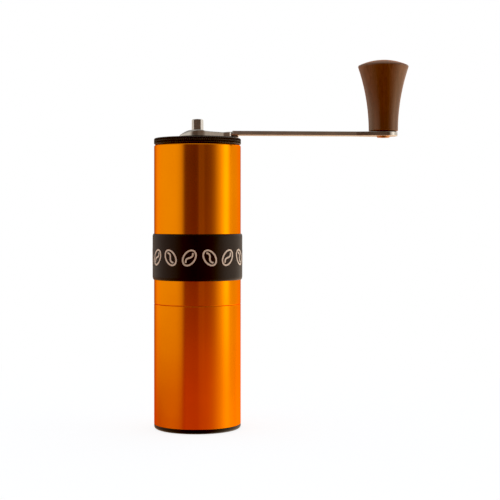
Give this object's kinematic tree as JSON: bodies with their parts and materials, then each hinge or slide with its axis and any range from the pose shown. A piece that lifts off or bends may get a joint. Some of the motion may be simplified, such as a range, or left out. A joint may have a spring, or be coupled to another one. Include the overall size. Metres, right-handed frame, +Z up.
{
  "type": "hand coffee grinder",
  "caption": "Slim tubular hand coffee grinder with a rubber grip band, knurled lid, lift-off steel crank and flared wooden knob; conical burrs inside.",
  "frame": {"origin": "centre of the base pad's rest face", "axes": "+Z up along the tube and spindle; +X from the spindle to the knob at rest"},
  "size_m": [0.1369, 0.0476, 0.1961],
  "materials": {
    "orange_anodised": "satin anodised",
    "grip_rubber": "fine matt moulded",
    "pad_rubber": "fine matt moulded",
    "lid_black": "black anodised, knurled rim",
    "stainless": "fine brushed, softened edges",
    "walnut": "oiled, open grain",
    "fibre_black": "matt",
    "brass": "turned",
    "bearing_steel": "ground and polished",
    "burr_steel": "ground teeth",
    "carrier_alloy": "bead blasted",
    "dial_black": "black anodised, scalloped edge",
    "seal_rubber": "smooth",
    "spring_steel": "drawn wire",
    "fastener_steel": "plain",
    "band_print": "raised pale print"
  },
  "bodies": {
    "cup": {"base_pad": "pad_rubber", "collection_cup": "orange_anodised"},
    "grinder_body": {"body_tube": "orange_anodised", "grip_band": "grip_rubber", "burr_housing": "carrier_alloy", "outer_burr": "burr_steel", "burr_grub_screws": "fastener_steel", "spigot_o_ring": "seal_rubber", "lower_spider": "carrier_alloy", "upper_bridge": "carrier_alloy", "bridge_circlip": "spring_steel", "upper_bearing_outer_race": "bearing_steel", "upper_bearing_shields": "fastener_steel", "lower_bearing_outer_race": "bearing_steel", "lower_bearing_shields": "fastener_steel"},
    "lid": {"lid": "lid_black", "lid_o_ring": "seal_rubber"},
    "rotor": {"upper_bearing_inner_race": "bearing_steel", "lower_bearing_inner_race": "bearing_steel", "spring_washer": "fastener_steel", "preload_spring": "spring_steel"},
    "dial": {"adjuster_dial": "dial_black"},
    "spindle": {"spindle": "stainless", "inner_burr": "burr_steel", "burr_drive_pin": "fastener_steel", "burr_washer": "fastener_steel", "burr_bolt": "fastener_steel"},
    "crank": {"crank_arm": "stainless"},
    "knob": {"knob": "walnut", "knob_insert": "brass", "knob_screw": "stainless", "knob_washer": "fibre_black"},
    "upper_balls": {"upper_bearing_balls": "bearing_steel", "upper_bearing_cage": "brass"},
    "lower_balls": {"lower_bearing_balls": "bearing_steel", "lower_bearing_cage": "brass"}
  },
  "joints": [
    {"name": "body_lift", "type": "slide", "parent": "cup", "child": "grinder_body", "axis": [0, 0, 1], "range_m": [0, 0.03]},
    {"name": "lid_lift", "type": "slide", "parent": "grinder_body", "child": "lid", "axis": [0, 0, 1], "range_m": [0, 0.0301]},
    {"name": "spindle_spin", "type": "hinge", "parent": "grinder_body", "child": "rotor", "pos_m": [0, 0, 0.0815], "axis": [0, 0, 1], "continuous": true},
    {"name": "dial_turn", "type": "hinge", "parent": "rotor", "child": "dial", "pos_m": [0, 0, 0.145], "axis": [0, 0, 1], "range_deg": [-541, 0]},
    {"name": "burr_gap", "type": "slide", "parent": "rotor", "child": "spindle", "axis": [0, 0, 1], "range_m": [0, 0.0015], "deforming": ["preload_spring"]},
    {"name": "crank_lift", "type": "slide", "parent": "spindle", "child": "crank", "axis": [0, 0, 1], "range_m": [0, 0.06]},
    {"name": "knob_spin", "type": "hinge", "parent": "crank", "child": "knob", "pos_m": [0.1, 0, 0.158], "axis": [0, 0, 1], "continuous": true},
    {"name": "upper_ball_orbit", "type": "hinge", "parent": "grinder_body", "child": "upper_balls", "pos_m": [0, 0, 0.1395], "axis": [0, 0, 1], "continuous": true},
    {"name": "lower_ball_orbit", "type": "hinge", "parent": "grinder_body", "child": "lower_balls", "pos_m": [0, 0, 0.0815], "axis": [0, 0, 1], "continuous": true}
  ],
  "couplings": [
    {"joint": "dial_turn", "follows": "burr_gap", "rad_per_m": -6283.2},
    {"joint": "lid_lift", "follows": "crank_lift", "ratio": 0.5},
    {"joint": "upper_ball_orbit", "follows": "spindle_spin", "ratio": 0.404},
    {"joint": "lower_ball_orbit", "follows": "spindle_spin", "ratio": 0.404}
  ]
}
